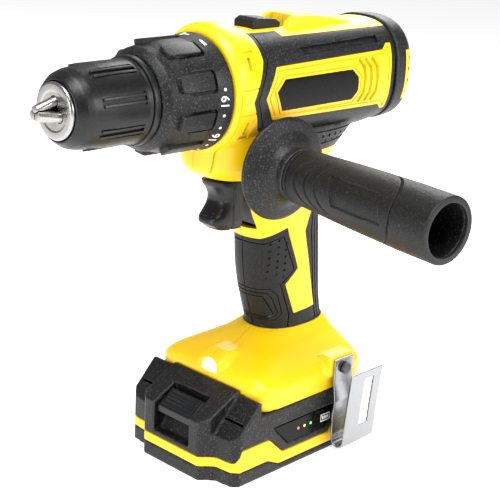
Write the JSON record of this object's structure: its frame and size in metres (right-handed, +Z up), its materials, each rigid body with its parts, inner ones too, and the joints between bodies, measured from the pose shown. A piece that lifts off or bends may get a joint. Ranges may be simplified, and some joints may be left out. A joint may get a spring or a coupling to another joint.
{
  "type": "cordless drill",
  "caption": "Pistol-grip cordless drill with keyless chuck, torque collar, screw-on side handle, belt clip and slide-on battery pack.",
  "frame": {"origin": "centre of the battery pack's flat base, on the surface that the drill stands on", "axes": "+X along the spindle towards the chuck, +Y to the operator's left where the side handle is, +Z up"},
  "size_m": [0.2395, 0.1846, 0.2357],
  "materials": {
    "yellow_plastic": "moulded ABS, satin",
    "black_plastic": "glass-filled nylon, fine spark texture",
    "black_rubber": "moulded TPE, matt",
    "black_label": "gloss",
    "bright_steel": "turned and polished",
    "dark_steel": "blackened",
    "chromed_steel": "bright chrome",
    "copper_winding": "varnished copper",
    "cell_wrap": "shrink sleeve",
    "circuit_board": "solder mask",
    "clear_lens": "clear"
  },
  "bodies": {
    "housing": {"housing_left": "yellow_plastic", "housing_right": "yellow_plastic", "rear_vent_left": "yellow_plastic", "rear_vent_right": "yellow_plastic", "rear_cap": "black_plastic", "switch_module": "black_plastic", "terminal_block": "black_plastic", "motor_end_plate": "black_plastic", "barrel_rubber_left": "black_rubber", "barrel_rubber_right": "black_rubber", "grip_rubber_left": "black_rubber", "grip_rubber_right": "black_rubber", "label_plate_left": "black_label", "label_plate_right": "black_label", "spindle_bearing": "bright_steel", "ring_gear": "bright_steel", "handle_insert": "bright_steel", "trigger_spring": "bright_steel", "motor_can": "dark_steel", "magnet_left": "dark_steel", "magnet_right": "dark_steel", "gearbox_case": "dark_steel", "belt_clip_screw": "dark_steel", "housing_screw_1": "dark_steel", "housing_screw_2": "dark_steel", "housing_screw_3": "dark_steel", "belt_clip": "chromed_steel", "led_lens": "clear_lens"},
    "chuck": {"chuck_body": "bright_steel", "spindle": "bright_steel", "planet_carrier": "bright_steel", "chuck_ring": "black_plastic"},
    "sleeve": {"chuck_sleeve": "black_plastic"},
    "jaw_1": {"jaw_1": "bright_steel"},
    "jaw_2": {"jaw_2": "bright_steel"},
    "jaw_3": {"jaw_3": "bright_steel"},
    "planet_1": {"planet_gear_1": "bright_steel"},
    "planet_2": {"planet_gear_2": "bright_steel"},
    "planet_3": {"planet_gear_3": "bright_steel"},
    "rotor": {"motor_shaft": "bright_steel", "armature": "copper_winding", "cooling_fan": "black_plastic"},
    "torque_collar": {"clutch_ring": "black_plastic"},
    "speed_slider": {"gear_selector": "black_plastic"},
    "direction_slider": {"direction_bar": "black_plastic"},
    "trigger": {"trigger": "black_plastic"},
    "battery": {"battery_upper_case": "black_plastic", "battery_lower_case": "black_plastic", "battery_band": "yellow_plastic", "battery_board": "circuit_board", "indicator_panel": "black_label", "cell_1": "cell_wrap", "cell_2": "cell_wrap", "cell_3": "cell_wrap", "cell_4": "cell_wrap", "cell_5": "cell_wrap"},
    "release": {"release_button": "black_plastic"},
    "side_handle": {"handle_stud": "bright_steel", "handle_core": "black_plastic", "handle_grip": "black_rubber"}
  },
  "joints": [
    {"name": "chuck_spin", "type": "hinge", "parent": "housing", "child": "chuck", "pos_m": [0.06, 0, 0.2015], "axis": [1, 0, 0], "continuous": true},
    {"name": "sleeve_turn", "type": "hinge", "parent": "chuck", "child": "sleeve", "pos_m": [0.11, 0, 0.2015], "axis": [1, 0, 0], "range_deg": [0, 1440]},
    {"name": "jaw_1_slide", "type": "slide", "parent": "chuck", "child": "jaw_1", "axis": [-0.9563, 0, 0.2924], "range_m": [0, 0.01602]},
    {"name": "jaw_2_slide", "type": "slide", "parent": "chuck", "child": "jaw_2", "axis": [-0.9563, -0.2532, -0.1462], "range_m": [0, 0.01602]},
    {"name": "jaw_3_slide", "type": "slide", "parent": "chuck", "child": "jaw_3", "axis": [-0.9563, 0.2532, -0.1462], "range_m": [0, 0.01602]},
    {"name": "planet_1_spin", "type": "hinge", "parent": "chuck", "child": "planet_1", "pos_m": [0.004, 0, 0.21175], "axis": [1, 0, 0], "continuous": true},
    {"name": "planet_2_spin", "type": "hinge", "parent": "chuck", "child": "planet_2", "pos_m": [0.004, -0.00888, 0.19637], "axis": [1, 0, 0], "continuous": true},
    {"name": "planet_3_spin", "type": "hinge", "parent": "chuck", "child": "planet_3", "pos_m": [0.004, 0.00888, 0.19637], "axis": [1, 0, 0], "continuous": true},
    {"name": "motor_spin", "type": "hinge", "parent": "housing", "child": "rotor", "pos_m": [-0.04, 0, 0.2015], "axis": [1, 0, 0], "continuous": true},
    {"name": "torque_turn", "type": "hinge", "parent": "housing", "child": "torque_collar", "pos_m": [0.065, 0, 0.2015], "axis": [1, 0, 0], "range_deg": [-150, 150]},
    {"name": "speed_slide", "type": "slide", "parent": "housing", "child": "speed_slider", "axis": [-1, 0, 0], "range_m": [0, 0.008]},
    {"name": "direction_slide", "type": "slide", "parent": "housing", "child": "direction_slider", "axis": [0, 1, 0], "range_m": [-0.003, 0.003]},
    {"name": "trigger_pull", "type": "slide", "parent": "housing", "child": "trigger", "axis": [-1, 0, 0], "range_m": [0, 0.007], "stiffness_N_per_m": 900, "springref_m": -0.004, "deforming": ["trigger_spring"]},
    {"name": "battery_slide", "type": "slide", "parent": "housing", "child": "battery", "axis": [1, 0, 0], "range_m": [0, 0.08]},
    {"name": "release_press", "type": "slide", "parent": "battery", "child": "release", "axis": [-0.4444, 0, -0.8958], "range_m": [0, 0.0022], "stiffness_N_per_m": 1500, "springref_m": -0.001},
    {"name": "side_handle_slide", "type": "slide", "parent": "housing", "child": "side_handle", "axis": [0.0915, 0.9953, -0.0332], "range_m": [0, 0.014]}
  ],
  "couplings": [
    {"joint": "jaw_1_slide", "follows": "sleeve_turn", "m_per_rad": 0.00063662},
    {"joint": "jaw_2_slide", "follows": "sleeve_turn", "m_per_rad": 0.00063662},
    {"joint": "jaw_3_slide", "follows": "sleeve_turn", "m_per_rad": 0.00063662},
    {"joint": "planet_1_spin", "follows": "chuck_spin", "ratio": -2.6667},
    {"joint": "planet_2_spin", "follows": "chuck_spin", "ratio": -2.6667},
    {"joint": "planet_3_spin", "follows": "chuck_spin", "ratio": -2.6667},
    {"joint": "motor_spin", "follows": "chuck_spin", "ratio": 5}
  ]
}
